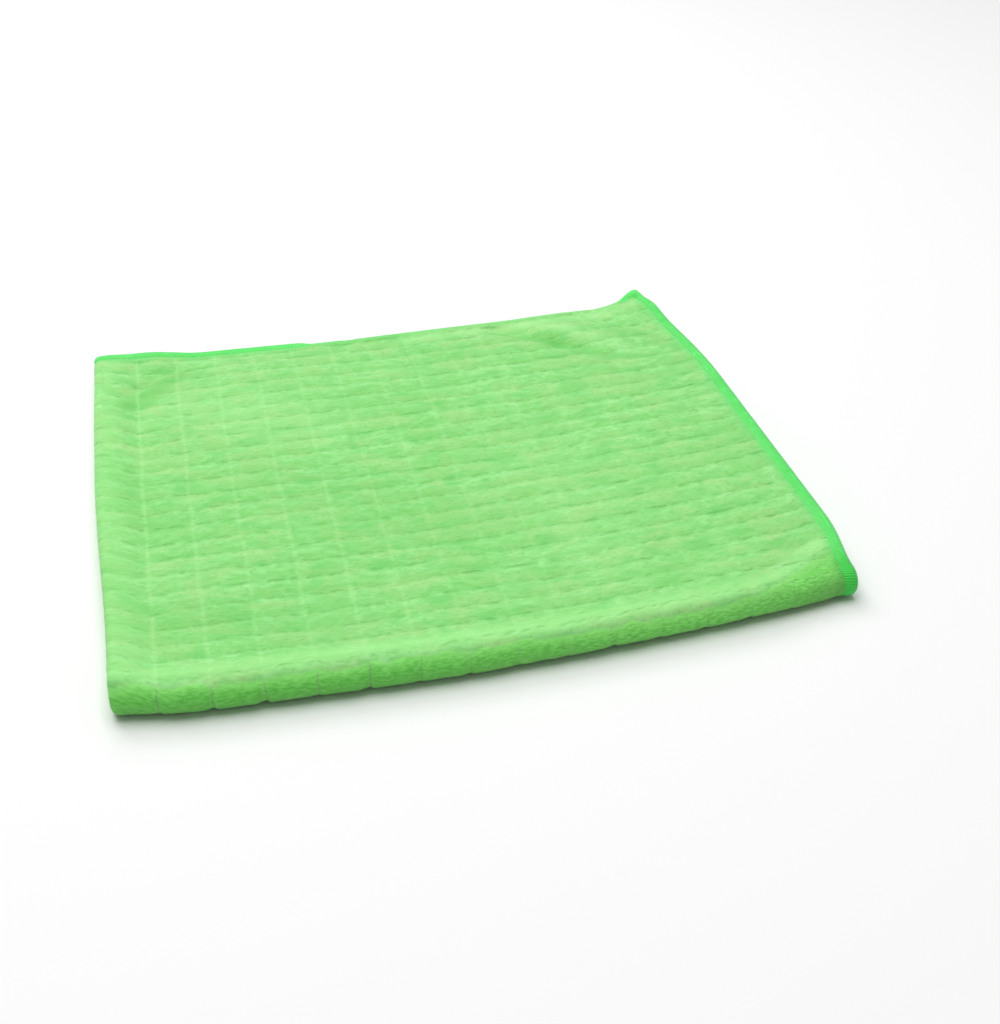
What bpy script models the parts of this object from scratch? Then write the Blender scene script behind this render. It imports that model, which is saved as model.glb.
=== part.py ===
"""Microfibre cleaning cloth, folded in quarters and laid flat.

The cloth is one sheet, 400 by 380 mm, with a sewn binding round its whole edge. It is folded
once from left to right and once more from front to back, so four layers lie on each other. The
first fold is the left side and the second fold is the round front. Both pieces are made flat,
in cloth coordinates, and one function then folds them:

    u  across the cloth, 0 on the first fold, positive in the outer layer
    v  along the cloth, 0 on the second fold, positive in the upper half
    w  through the cloth, positive on the face that shows

Units are metres, +Z is up, and the underside of the lowest layer lies on z = 0.
"""

import math
from collections import namedtuple

import bpy
import numpy as np

# The cloth as it is cut and sewn
CLOTH_WIDTH = 0.400        # across the first fold
CLOTH_LENGTH = 0.380       # across the second fold
THICKNESS = 0.0020         # from pile to pile
CORNER_RADIUS = 0.005      # of the bound corners, in the flat cloth

# The edge, pressed thin inside its binding. Depths are measured inwards from the finished edge
BINDING_DEPTH = 0.0042     # how far the binding reaches over each face
BINDING_WALL = 0.0003      # thickness of the binding over each face
BINDING_LIP = 0.0009       # thickness of the binding past the cut edge
CLEARANCE = 0.0003         # between the binding and the cloth inside it
PILE_SHOULDER = 0.0007     # over which the pile rises beside the binding

# The folds
PITCH = 0.0027             # from one layer's middle to the next
ROLL_RADIUS = 0.0031       # of the second fold, midway between its two layers
ROLL_RUN = 0.022           # over which the round front settles to the height of the stack
SLIP = 0.6                 # share of the roll's extra path that the layers slip past each other

# The outline of the folded cloth, in its own frame: x from the left fold, y from the front fold
TURN_START = 0.0825        # the right end turns back from here
TURN_REACH = 0.112
TURN_DEPTH = 0.0110
TURN_POWER = 1.6
TURN_FADE = 0.32           # share of the turn that is lost at the back
LEFT_CORNER_RUN = 0.012    # the left corners round over this
FRONT_CORNER_SET = 0.0033  # how far the front left corner is set back
BACK_CORNER_SET = 0.0016   # how far the back left corner is set forward
LEFT_LEAN = 0.0030         # the left side leans in towards the front
LEFT_LEAN_RUN = 0.112
RIGHT_SWELL = 0.0024       # the right side stands out past the front roll
RIGHT_SWELL_RUN = 0.030
RIGHT_PULL = 0.0066        # and is drawn in towards the back
RIGHT_PULL_START = 0.122
RIGHT_PULL_RUN = 0.085

# Rises and hollows that run through the stack. Each follows a straight line from (x0, y0) to
# (x1, y1), fades over its width, and lifts the top by its rise
Form = namedtuple("Form", "x0 y0 x1 y1 width rise")
FORMS = {
    "left fold, puffed": Form(0.004, 0.000, 0.004, 0.184, 0.0060, 0.0011),
    "hollow beside the left fold": Form(0.014, 0.012, 0.014, 0.178, 0.0055, -0.0008),
    "front right corner, pressed": Form(0.184, 0.012, 0.204, 0.020, 0.0110, -0.0009),
    "back edge, sagging": Form(0.036, 0.186, 0.174, 0.192, 0.0120, -0.0023),
    "back right corner, peaked": Form(0.194, 0.194, 0.196, 0.188, 0.0090, 0.0018),
    "crease by the back left corner": Form(0.013, 0.148, 0.028, 0.172, 0.0055, -0.0007),
    "arc crease, back": Form(0.143, 0.178, 0.163, 0.163, 0.0065, -0.0006),
    "arc crease, right": Form(0.163, 0.163, 0.186, 0.155, 0.0065, -0.0006),
    "ridge behind the arc crease": Form(0.160, 0.180, 0.182, 0.170, 0.0065, 0.0005),
    "hollow in the middle": Form(0.080, 0.070, 0.130, 0.105, 0.0300, -0.0007),
}

# Lines of points across the cloth: fine round the folds and near the edges, wider between
FOLD_STEPS = 6             # round the first fold
ROLL_STEPS = 8             # round the second fold
FIRST_STEP = 0.45          # of the quarter bend, beside a fold
STEP_GROWTH = 1.35
FINE_STEP = 0.0066
SHOWN_STEP = 0.014         # in the middle of the half that shows
HIDDEN_STEP = 0.027
FOLD_REACH = 0.030         # of the fine lines beside a fold
EDGE_REACH = 0.058         # of the fine lines beside an edge
CORNER_STEPS = 3           # round each bound corner

HALF_WIDTH = CLOTH_WIDTH / 2
HALF_LENGTH = CLOTH_LENGTH / 2
HALF_PITCH = PITCH / 2
HALF_THICKNESS = THICKNESS / 2
STACK_HEIGHT = 3 * PITCH + THICKNESS
SLOT_HALF = HALF_THICKNESS - BINDING_WALL
TONGUE_HALF = SLOT_HALF - CLEARANCE
TONGUE_DEPTH = BINDING_LIP + CLEARANCE
SHOULDER_FOOT = BINDING_DEPTH + CLEARANCE
SHOULDER_TOP = SHOULDER_FOOT + PILE_SHOULDER
FLATNESS = 1e-5            # points this near the table lie on it
PROBE = 2e-5               # step for reading the slope of the folded sheet
SHARP_ANGLE = math.radians(50)


def smooth(t):
    """Ease from 0 to 1 with level ends: 3t^2 - 2t^3 of t held between 0 and 1."""
    t = np.clip(t, 0.0, 1.0)
    return t * t * (3.0 - 2.0 * t)


def outline(x, y):
    """Bend the folded outline: the right end turns back, the sides lean, the corners round."""
    across = x / HALF_WIDTH
    along = y / HALF_LENGTH
    turn = TURN_DEPTH * np.clip((x - TURN_START) / TURN_REACH, 0.0, None) ** TURN_POWER
    corner = FRONT_CORNER_SET * (1.0 - along) - BACK_CORNER_SET * along
    lean = LEFT_LEAN * (1.0 - smooth(y / LEFT_LEAN_RUN)) * (1.0 - across)
    swell = RIGHT_SWELL * smooth(y / RIGHT_SWELL_RUN)
    pull = RIGHT_PULL * smooth((y - RIGHT_PULL_START) / RIGHT_PULL_RUN)
    set_back = turn * (1.0 - TURN_FADE * along) + corner * np.exp(-(x / LEFT_CORNER_RUN) ** 2)
    return x + lean + (swell - pull) * across ** 3, y + set_back


def stretch_of_stack(x, y):
    """Height of the stack over its plain height: 1 plus each form's rise times
    exp(-(distance to its line / width)^2)."""
    rise = np.zeros_like(x)
    for form in FORMS.values():
        run = np.array([form.x1 - form.x0, form.y1 - form.y0])
        along = ((x - form.x0) * run[0] + (y - form.y0) * run[1]) / (run @ run)
        along = np.clip(along, 0.0, 1.0)
        distance = np.hypot(x - form.x0 - along * run[0], y - form.y0 - along * run[1])
        rise = rise + form.rise * np.exp(-(distance / form.width) ** 2)
    return 1.0 + rise / STACK_HEIGHT


def middle_of_sheet(u, v):
    """Place of the sheet's middle at (u, v), and how far its pile is pressed there.

    The first fold is a half circle of half the pitch, with straight runs to the right: it gives
    x and the height n over the middle of the doubled cloth. The second fold carries that section
    along a path: straight under, round the front at its radius plus n, and straight back on top.
    Outline and stretch then shift the folded sheet as it lies."""
    u, v = np.broadcast_arrays(np.asarray(u, float), np.asarray(v, float))
    bend = HALF_PITCH * math.pi / 2
    angle = np.clip(u / HALF_PITCH, -math.pi / 2, math.pi / 2)
    x = HALF_THICKNESS + HALF_PITCH * (1.0 - np.cos(angle)) + np.clip(np.abs(u) - bend, 0.0, None)
    n = HALF_PITCH * np.sin(angle)

    path_radius = ROLL_RADIUS + SLIP * n
    quarter = path_radius * math.pi / 2
    turn = np.clip(v / path_radius, -math.pi / 2, math.pi / 2)
    past = np.clip(np.abs(v) - quarter, 0.0, None)
    front = ROLL_RADIUS + HALF_PITCH + HALF_THICKNESS
    y = front - (ROLL_RADIUS + n) * np.cos(turn) + past
    z = front + (ROLL_RADIUS + n) * np.sin(turn)
    settle = 2.0 * (ROLL_RADIUS - PITCH) * smooth(past / ROLL_RUN)
    z = z - np.where(v > 0.0, settle, 0.0)

    x, y = outline(x, y)
    stretch = stretch_of_stack(x, y)
    pressed = np.minimum(stretch, 1.0)
    z = HALF_THICKNESS * pressed + (z - HALF_THICKNESS) * stretch
    return np.stack([x, y, z], axis=-1), pressed


def folded(u, v, w):
    """Fold flat points: the sheet's middle at (u, v), then w along its normal, which is the
    cross product of its slopes in u and v."""
    centre, pressed = middle_of_sheet(u, v)
    along_u = middle_of_sheet(u + PROBE, v)[0] - middle_of_sheet(u - PROBE, v)[0]
    along_v = middle_of_sheet(u, v + PROBE)[0] - middle_of_sheet(u, v - PROBE)[0]
    normal = np.cross(along_u, along_v)
    normal /= np.linalg.norm(normal, axis=-1, keepdims=True)
    points = centre + (w * pressed)[..., None] * normal
    points[..., 2] = np.where(points[..., 2] < FLATNESS, 0.0, points[..., 2])
    return points


def steps_from(start, end, step):
    """Even steps from start to end, close to the given step, without the start itself."""
    count = max(1, round((end - start) / step))
    return [start + (end - start) * (i + 1) / count for i in range(count)]


def lines_across(bend, bend_steps, half_size):
    """Places of the lines of points across the whole cloth, from one edge to the other: even
    round the fold, then out to the last line that the round corners leave straight."""
    last = half_size - CORNER_RADIUS
    halves = []
    for middle_step in (SHOWN_STEP, HIDDEN_STEP):
        places = [bend + FIRST_STEP * bend]
        step = FIRST_STEP * bend * STEP_GROWTH
        while places[-1] + step < FOLD_REACH:
            places.append(places[-1] + step)
            step = min(step * STEP_GROWTH, FINE_STEP)
        places += steps_from(places[-1], half_size - EDGE_REACH, middle_step)
        places += steps_from(half_size - EDGE_REACH, last, FINE_STEP)
        halves.append(places)
    shown, hidden = halves
    fold = [bend * (2.0 * i / bend_steps - 1.0) for i in range(bend_steps + 1)]
    return [-place for place in reversed(hidden)] + fold + shown


def add_object(name, vertices, faces, colour, roughness):
    """Make one named object with its own material from points and faces."""
    mesh = bpy.data.meshes.new(name)
    mesh.from_pydata(vertices.tolist(), [], faces)
    mesh.update()
    mesh.shade_smooth()
    mesh.set_sharp_from_angle(angle=SHARP_ANGLE)
    obj = bpy.data.objects.new(name, mesh)
    bpy.context.scene.collection.objects.link(obj)
    material = bpy.data.materials.new(name)
    material.use_nodes = True
    shader = material.node_tree.nodes["Principled BSDF"]
    shader.inputs["Base Color"].default_value = (*colour, 1.0)
    shader.inputs["Roughness"].default_value = roughness
    shader.inputs["Metallic"].default_value = 0.0
    mesh.materials.append(material)
    return obj


def panel_points(u_lines, v_lines):
    """The panel's upper and lower faces. Full thick inside, pressed to a thin tongue within the
    binding, and round at the corners of the tongue."""
    rim_u = HALF_WIDTH - TONGUE_DEPTH
    rim_v = HALF_LENGTH - TONGUE_DEPTH
    extra_u = [HALF_WIDTH - SHOULDER_TOP, HALF_WIDTH - SHOULDER_FOOT, rim_u]
    extra_v = [HALF_LENGTH - SHOULDER_TOP, HALF_LENGTH - SHOULDER_FOOT, rim_v]
    u_all = [-place for place in reversed(extra_u)] + u_lines[1:-1] + extra_u
    v_all = [-place for place in reversed(extra_v)] + v_lines[1:-1] + extra_v
    u, v = np.meshgrid(u_all, v_all, indexing="ij")

    past_u = np.abs(u) - (HALF_WIDTH - CORNER_RADIUS)
    past_v = np.abs(v) - (HALF_LENGTH - CORNER_RADIUS)
    in_corner = (past_u > 0.0) & (past_v > 0.0)
    reach = np.hypot(past_u, past_v)
    keep = np.where(in_corner, np.minimum(1.0, (CORNER_RADIUS - TONGUE_DEPTH) / reach), 1.0)
    u = u - np.sign(u) * past_u * (1.0 - keep)
    v = v - np.sign(v) * past_v * (1.0 - keep)

    depth = np.where(in_corner, CORNER_RADIUS - reach * keep,
                     CORNER_RADIUS - np.maximum(past_u, past_v))
    rise = np.clip((depth - SHOULDER_FOOT) / PILE_SHOULDER, 0.0, 1.0)
    w = TONGUE_HALF + (HALF_THICKNESS - TONGUE_HALF) * rise
    return folded(u, v, w), folded(u, v, -w)


def sheet_faces(rows, columns):
    """Faces of two equal grids, one over the other, closed round the rim."""
    def corner(side, i, j):
        return side * rows * columns + i * columns + j

    faces = []
    for i in range(rows - 1):
        for j in range(columns - 1):
            square = [(i, j), (i + 1, j), (i + 1, j + 1), (i, j + 1)]
            faces.append([corner(0, *place) for place in square])
            faces.append([corner(1, *place) for place in reversed(square)])
    rim = [(i, 0) for i in range(rows - 1)]
    rim += [(rows - 1, j) for j in range(columns - 1)]
    rim += [(i, columns - 1) for i in range(rows - 1, 0, -1)]
    rim += [(0, j) for j in range(columns - 1, 0, -1)]
    for here, there in zip(rim, rim[1:] + rim[:1]):
        faces.append([corner(0, *there), corner(0, *here), corner(1, *here), corner(1, *there)])
    return faces


def binding_section():
    """The binding's section as (depth, height): a flattened loop with a slot for the cloth."""
    outer = HALF_THICKNESS
    round_in = 1.2 * BINDING_LIP
    upper = [(BINDING_DEPTH, outer), (round_in, outer), (0.3 * BINDING_LIP, 0.68 * outer)]
    lower = [(depth, -height) for depth, height in reversed(upper)]
    slot = [(BINDING_DEPTH, -SLOT_HALF), (BINDING_LIP, -SLOT_HALF)]
    slot += [(depth, -height) for depth, height in reversed(slot)]
    return upper + [(0.0, 0.0)] + lower + slot


def rim_stations(u_lines, v_lines):
    """Stations round the cloth, counter-clockwise: a centre one corner radius inside the edge,
    and the outward direction there."""
    u_in = HALF_WIDTH - CORNER_RADIUS
    v_in = HALF_LENGTH - CORNER_RADIUS
    sides = [
        ([(u_in, v) for v in v_lines], 0.0),
        ([(u, v_in) for u in reversed(u_lines)], 0.5 * math.pi),
        ([(-u_in, v) for v in reversed(v_lines)], math.pi),
        ([(u, -v_in) for u in u_lines], 1.5 * math.pi),
    ]
    centres, angles = [], []
    for places, angle in sides:
        centres += places
        angles += [angle] * len(places)
        for step in range(1, CORNER_STEPS):
            centres.append(places[-1])
            angles.append(angle + 0.5 * math.pi * step / CORNER_STEPS)
    return np.array(centres), np.array(angles)


def binding_points(u_lines, v_lines):
    """The section carried round the rim: each point lies its depth inside the edge."""
    centres, angles = rim_stations(u_lines, v_lines)
    depth, height = np.array(binding_section()).T
    reach = CORNER_RADIUS - depth[None, :]
    u = centres[:, 0, None] + reach * np.cos(angles)[:, None]
    v = centres[:, 1, None] + reach * np.sin(angles)[:, None]
    return folded(u, v, np.broadcast_to(height, u.shape))


def loop_faces(stations, corners):
    """Faces of a closed section carried round a closed rim."""
    faces = []
    for i in range(stations):
        after = (i + 1) % stations
        for j in range(corners):
            beside = (j + 1) % corners
            faces.append([i * corners + beside, after * corners + beside,
                          after * corners + j, i * corners + j])
    return faces


def build():
    """Fold the panel and its binding, and stand them on the middle of their own box."""
    for obj in list(bpy.data.objects):
        bpy.data.objects.remove(obj, do_unlink=True)

    u_lines = lines_across(HALF_PITCH * math.pi / 2, FOLD_STEPS, HALF_WIDTH)
    v_lines = lines_across(ROLL_RADIUS * math.pi / 2, ROLL_STEPS, HALF_LENGTH)
    upper, lower = panel_points(u_lines, v_lines)
    binding = binding_points(u_lines, v_lines)

    panel = np.concatenate([upper.reshape(-1, 3), lower.reshape(-1, 3)])
    both = np.concatenate([panel, binding.reshape(-1, 3)])
    middle = (both.min(axis=0) + both.max(axis=0)) / 2
    middle[2] = 0.0

    add_object("cloth_panel", panel - middle, sheet_faces(*upper.shape[:2]),
               colour=(0.29, 0.76, 0.23), roughness=0.95)
    add_object("edge_binding", binding.reshape(-1, 3) - middle, loop_faces(*binding.shape[:2]),
               colour=(0.06, 0.80, 0.14), roughness=0.6)


build()
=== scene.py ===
"""Looks of the microfibre cloth, folded in quarters and laid flat.

One thin sheet of pile cloth follows the folds of its solid, with a grid of small pads pressed
into it. A rounded band covers its edge, sewn over with thread. Sizes are in metres.

Cloth coordinates, as in the solids:
    u  across the cloth, 0 on the first fold (left side), positive in the outer layer
    v  along the cloth, 0 on the second fold (round front), positive in the upper half
    w  through the cloth, positive on the face that shows
"""

import math
from collections import namedtuple
from types import SimpleNamespace

import bpy
import numpy as np
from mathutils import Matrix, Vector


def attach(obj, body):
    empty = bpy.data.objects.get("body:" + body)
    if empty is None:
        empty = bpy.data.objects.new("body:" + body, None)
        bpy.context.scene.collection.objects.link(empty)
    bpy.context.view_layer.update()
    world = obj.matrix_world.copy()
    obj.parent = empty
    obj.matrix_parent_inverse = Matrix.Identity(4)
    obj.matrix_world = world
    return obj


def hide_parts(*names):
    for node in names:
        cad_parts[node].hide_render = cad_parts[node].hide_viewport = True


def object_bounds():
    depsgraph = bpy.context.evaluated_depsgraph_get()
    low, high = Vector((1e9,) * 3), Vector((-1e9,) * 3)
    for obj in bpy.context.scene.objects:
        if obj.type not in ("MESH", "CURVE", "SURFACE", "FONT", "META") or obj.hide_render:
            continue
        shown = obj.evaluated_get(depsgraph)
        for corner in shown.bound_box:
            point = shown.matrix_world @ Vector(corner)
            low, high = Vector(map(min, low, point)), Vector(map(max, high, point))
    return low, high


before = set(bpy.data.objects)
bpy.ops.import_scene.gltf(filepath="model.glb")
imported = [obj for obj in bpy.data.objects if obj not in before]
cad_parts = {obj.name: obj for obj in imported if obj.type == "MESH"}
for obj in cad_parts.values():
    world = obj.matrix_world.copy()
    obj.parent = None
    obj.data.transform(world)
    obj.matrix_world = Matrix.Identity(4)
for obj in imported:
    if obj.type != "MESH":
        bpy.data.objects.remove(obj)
SOLID_LOW, SOLID_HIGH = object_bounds()
CORNER = np.array([SOLID_LOW.x, SOLID_LOW.y, 0.0])   # low corner of the folded cloth's outline


# ---------------------------------------------------------------- sizes of the cloth and its folds

CLOTH_WIDTH = 0.400
CLOTH_LENGTH = 0.380
THICKNESS = 0.0020
CORNER_RADIUS = 0.005
BINDING_DEPTH = 0.0042
PITCH = 0.0027
ROLL_RADIUS = 0.0031
ROLL_RUN = 0.022
SLIP = 0.6
TURN_START = 0.0825
TURN_REACH = 0.112
TURN_DEPTH = 0.0110
TURN_POWER = 1.6
TURN_FADE = 0.32
LEFT_CORNER_RUN = 0.012
FRONT_CORNER_SET = 0.0033
BACK_CORNER_SET = 0.0016
LEFT_LEAN = 0.0030
LEFT_LEAN_RUN = 0.112
RIGHT_SWELL = 0.0024
RIGHT_SWELL_RUN = 0.030
RIGHT_PULL = 0.0066
RIGHT_PULL_START = 0.122
RIGHT_PULL_RUN = 0.085

HALF_WIDTH = CLOTH_WIDTH / 2
HALF_LENGTH = CLOTH_LENGTH / 2
HALF_PITCH = PITCH / 2
HALF_THICKNESS = THICKNESS / 2
STACK_HEIGHT = 3 * PITCH + THICKNESS
RIM_LENGTH = 2 * (CLOTH_WIDTH + CLOTH_LENGTH) - 8 * CORNER_RADIUS + 2 * math.pi * CORNER_RADIUS
PROBE = 2e-5               # step for the slopes of the sheet
TABLE = 64                 # random values in each direction, for all unevenness

# Rises and hollows of the whole stack: a line from (x0, y0) to (x1, y1) in the folded outline,
# the width over which it fades, and how far it lifts the top
Form = namedtuple("Form", "x0 y0 x1 y1 width rise")
STACK_FORMS = {
    "left fold, puffed": Form(0.004, 0.000, 0.004, 0.184, 0.0060, 0.0011),
    "hollow beside the left fold": Form(0.014, 0.012, 0.014, 0.178, 0.0055, -0.0008),
    "front right corner, pressed": Form(0.184, 0.012, 0.204, 0.020, 0.0110, -0.0009),
    "back edge, sagging": Form(0.036, 0.186, 0.174, 0.192, 0.0120, -0.0023),
    "back right corner, peaked": Form(0.194, 0.194, 0.196, 0.188, 0.0090, 0.0018),
    "crease by the back left corner": Form(0.013, 0.148, 0.028, 0.172, 0.0055, -0.0007),
    "arc crease, back": Form(0.143, 0.178, 0.163, 0.163, 0.0065, -0.0006),
    "arc crease, right": Form(0.163, 0.163, 0.186, 0.155, 0.0065, -0.0006),
    "ridge behind the arc crease": Form(0.160, 0.180, 0.182, 0.170, 0.0065, 0.0005),
    "hollow in the middle": Form(0.080, 0.070, 0.130, 0.105, 0.0300, -0.0007),
}
# The same for creases too sharp for the solids
FINE_FORMS = {
    "valley beside the left fold": Form(0.0125, 0.020, 0.0125, 0.150, 0.0030, -0.0004),
    "dimple, back left": Form(0.0085, 0.158, 0.0260, 0.177, 0.0034, -0.0014),
    "arc crease, back": Form(0.1380, 0.182, 0.1560, 0.165, 0.0030, -0.0013),
    "arc crease, right": Form(0.1560, 0.165, 0.1710, 0.152, 0.0030, -0.0010),
    "ridge behind the arc": Form(0.1500, 0.181, 0.1760, 0.162, 0.0036, 0.0007),
    "short crease by the peak": Form(0.1760, 0.180, 0.1890, 0.168, 0.0028, -0.0009),
    "front right corner, pressed": Form(0.1860, 0.014, 0.2040, 0.021, 0.0090, -0.0012),
    "ridge along the back edge": Form(0.0740, 0.1843, 0.1850, 0.1905, 0.0030, 0.0009),
    "ridge along the back edge, full": Form(0.0900, 0.1852, 0.1850, 0.1905, 0.0030, 0.0008),
    "back edge, turned down": Form(0.0740, 0.1881, 0.1865, 0.1948, 0.0032, -0.0009),
    "back edge, turned down in full": Form(0.0900, 0.1890, 0.1865, 0.1948, 0.0032, -0.0009),
    "back right corner, tip": Form(0.1930, 0.1960, 0.1935, 0.1970, 0.0030, 0.0016),
}
# Lines along which light and shade are painted into the pile: highlights above 0, shade below
PAINTED_LIGHT_LINES = {
    "dimple, back left": Form(0.0105, 0.152, 0.0280, 0.171, 0.0050, -0.70),
    "back left": Form(0.0320, 0.150, 0.0600, 0.128, 0.0180, 0.20),
    "left": Form(0.0110, 0.100, 0.0180, 0.075, 0.0090, -0.25),
    "middle": Form(0.0660, 0.085, 0.0920, 0.062, 0.0200, -0.25),
    "front left": Form(0.0040, 0.034, 0.0600, 0.020, 0.0090, -0.30),
    "right of the middle": Form(0.1350, 0.085, 0.1340, 0.040, 0.0160, 0.10),
    "back edge": Form(0.1100, 0.1830, 0.1740, 0.1870, 0.0060, 0.30),
    "arc crease, back": Form(0.1380, 0.179, 0.1540, 0.168, 0.0034, -0.50),
    "arc crease, right": Form(0.1540, 0.168, 0.1700, 0.153, 0.0034, -0.50),
    "ridge behind the arc, back": Form(0.1490, 0.183, 0.1600, 0.1745, 0.0034, 0.32),
    "ridge behind the arc, right": Form(0.1600, 0.1745, 0.1780, 0.157, 0.0034, 0.32),
    "crease by the peak": Form(0.1760, 0.171, 0.1880, 0.164, 0.0034, -0.40),
    "peak": Form(0.1770, 0.1875, 0.1880, 0.190, 0.0035, 0.35),
    "light line on the front, at the corner": Form(0.0060, 0.0056, 0.0140, 0.0039, 0.0006, 0.60),
    "light line on the front": Form(0.0140, 0.0039, 0.0260, 0.0031, 0.0006, 0.60),
}

# Unevenness: how much, how far it runs across and along the cloth, and the seed of its values
Waves = namedtuple("Waves", "size across along seed")
# The same as a share: its mean and size, how many random values it has per unit across and
# along, their seed, and a shift across
Spread = namedtuple("Spread", "mean size across along seed shift", defaults=(0.0,))

# The grid pressed into the pile
COLUMN_PITCH = 0.0130      # across the cloth
ROW_PITCH = 0.00825        # along it
COLUMN_SET = 0.0007        # place of the first column line past the fold
ROW_SET = 0.0014
ROW_CROWD = 0.0038         # the rows crowd together towards the round front
ROW_CROWD_RUN = 0.015
COLUMN_LEAN = 0.75         # share of the left side's lean that the columns don't follow
LEFT_SWEEP = 0.0024        # the rows sweep back beside the left fold
LEFT_SWEEP_RUN = 0.0085
RIGHT_SWEEP = 0.0016       # and beside the bound side
RIGHT_SWEEP_RUN = 0.009
ROW_WAVES = (Waves(0.0007, 0.021, 0.016, 3), Waves(0.0003, 0.008, 0.009, 5))
COLUMN_WAVES = (Waves(0.022, 0.020, 0.012, 7),)          # in pads

# The channels between the pads, each a dip with soft sides
ROW_DEPTH = 0.00017
ROW_HALF = 0.00082
ROW_SPREAD = Spread(0.50, 1.05, 3.3, 1.7, 11, 9.0)       # a row's depth, by pads and rows
COLUMN_DEPTH = 0.00006     # of the columns on top
GROOVE_DEPTH = 0.00090     # and what the front adds to it
GROOVE_SPREAD = Spread(0.62, 0.38, 1.7, 20.0, 41)        # and a groove's, by pads and metres
GROOVE_FADE = 0.5          # how much shallower the grooves get to the right
GROOVE_FADE_RUN = 0.16
COLUMN_HALF = 0.00060
CHANNEL_POWER = 1.6        # 2 for a bell-shaped dip, less for a sharper one
BENT_FADE = 0.85           # how far the rows close up where the cloth bends
CROSSING_FADE = 0.45       # and where they cross a column
CROSSING_HALF = 0.0016

# The pads between them
CROWN = 0.00025            # how far the middle of a pad stands over its edges
CROWN_SPREAD = Spread(0.85, 0.5, 0.9, 0.9, 13)           # by pads and rows
FRONT_FLAT = 0.4           # how much flatter the pads lie round the front
FRONT_FLAT_RUN = 0.007
RIGHT_FLAT = 0.35          # and on the right
RIGHT_FLAT_START = 0.090
RIGHT_FLAT_RUN = 0.080
PAD_END = 0.50             # how far a pad falls off to its two ends
PAD_END_POWER = 4
PILE_SET = 0.00010         # the pile as a whole is pressed down by this
PILE_WAVES = (Waves(0.00008, 0.0042, 0.0032, 17), Waves(0.00024, 0.013, 0.010, 19),
              Waves(0.00040, 0.031, 0.024, 37))
FOLD_FADE = 0.8            # how far the relief is drawn flat on the left fold
FOLD_FADE_HALF = 0.0018
SEEN_U = (-0.012, 0.010)   # where the relief starts to show in from the hidden layers, and the
SEEN_V = (-0.016, 0.008)   # length that it takes

# Painted light and shade on the round front, which also close up the rows and deepen the grooves:
# a painted highlight along the crest, painted shade on the front below it
CREST = 0.0068
CREST_HALF = 0.0028
CREST_AT_LEFT = 0.7        # the crest starts this strong at the left fold
CREST_FULL_RUN = 0.050     # and is full after this
CREST_DROP = 0.0007        # where it also sits lower
CREST_TURN = 0.166         # where crest and front start to swing back
CREST_RISE = 0.014
FRONT_TOP = 0.0059
FRONT_WAVES = (Waves(0.0009, 0.0036, 0.0030, 43),)
FRONT_RISE = 0.0100
FRONT_RUN = 0.0065
CORNER_RUN = 0.0100        # how much more softly the front fades in at the bound corner
SINK = 0.0006              # how much lower the front sits before it swings back
SINK_START = 0.085
SINK_RUN = 0.085
CREST_SINK = 1.7           # the crest and the part that turns under sink by more, in SINK
UNDER_SINK = 2.0
UNDER_TOP = 0.0022
UNDER_RUN = 0.0060
CORNER_UNDER = 0.9         # how much the bound corner adds to the part that turns under
CORNER_UNDER_TOP = 0.022
CORNER_UNDER_RUN = 0.020
BELOW_END = -0.036         # the front's painted shade has gone here, under the stack
BELOW_RUN = 0.028
LEFT_HIGHLIGHT = 0.35           # strength of the painted highlight on the left fold
LEFT_HIGHLIGHT_IN = (-0.001, 0.003)             # where that sets in and the length that it takes
LEFT_HIGHLIGHT_OUT = (0.004, 0.008)             # and where it fades out
PAINTED_LIGHT_IN_U = 0.006        # the painted light and shade set in this far from each fold
PAINTED_LIGHT_IN_V = 0.004

# The edge of the sheet
CORNER_POINT = 0.6         # 0 for a round corner, 1 for a square one
TIP_PLACE = (0.1967, 0.1974)
TIP_PULL = 0.0026          # the bound corner at the back is drawn in
TIP_PULL_RUN = 0.0070
TONGUE_HALF = 0.00042      # half thickness of the sheet within the binding
PILE_START = 0.0032        # depth inside the edge where the pile starts to rise
PILE_START_RUN = 0.0021

# Lines of points on the sheet
CHANNEL_LINES = (0.0, 0.45, 1.0, 1.9, 3.4)        # beside a channel, in its half width
PAD_LINES = (0.36, 0.50, 0.64)                    # across a pad, in its pitch
RIM_LINES = (0.0075, 0.0062, 0.0053, 0.0046, 0.0038, 0.0024, 0.0012)   # in from the edge
RIM_GAP = 0.0004           # least distance from the grid's last line to the first of these
FOLD_STEPS = 7             # in half a fold
FOLD_CLEAR = 1.15          # where the grid's lines start, in the fold's half length
HIDDEN_START = 1.4         # and the hidden half's
HIDDEN_STEP = 0.005
INNER_EVERY = (4, 3)       # the inner face keeps every fourth line across and third along

# The bound edge: its ground and the thread round it
BAND_POINTS = 14           # round its section
BAND_STATIONS = 1250       # along the rim
BAND_HALF = 0.00082        # half its thickness
BAND_WAVES = (Waves(0.06, 0.006, 1.0, 23),)       # how its width swells, as a share
BEAD_LEAN = 0.25           # how much fuller the bead is towards the edge
THREAD_GAP = 0.00064       # from one turn of the looper thread to the next
THREAD_RADIUS = 0.00040
THREAD_HALF = 0.00064      # height of its path over the sheet's middle
THREAD_REACH = 0.94        # how far round the band it goes, as a share
THREAD_STATIONS = 9
THREAD_SIDES = 4
THREAD_SLANT = 0.00055     # how far it leans along the edge, each way
THREAD_SLACK = 0.00012     # how much that slant wanders
SLACK_WAVES = (Waves(1.0, 0.0031, 1.0, 29),)
THREAD_SPREAD = 0.12       # and the thread's thickness, as a share
THREAD_PRESSED = 0.8       # the thread is pressed flatter round the edge
THREAD_TOP = 0.00105       # no thread stands higher

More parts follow.
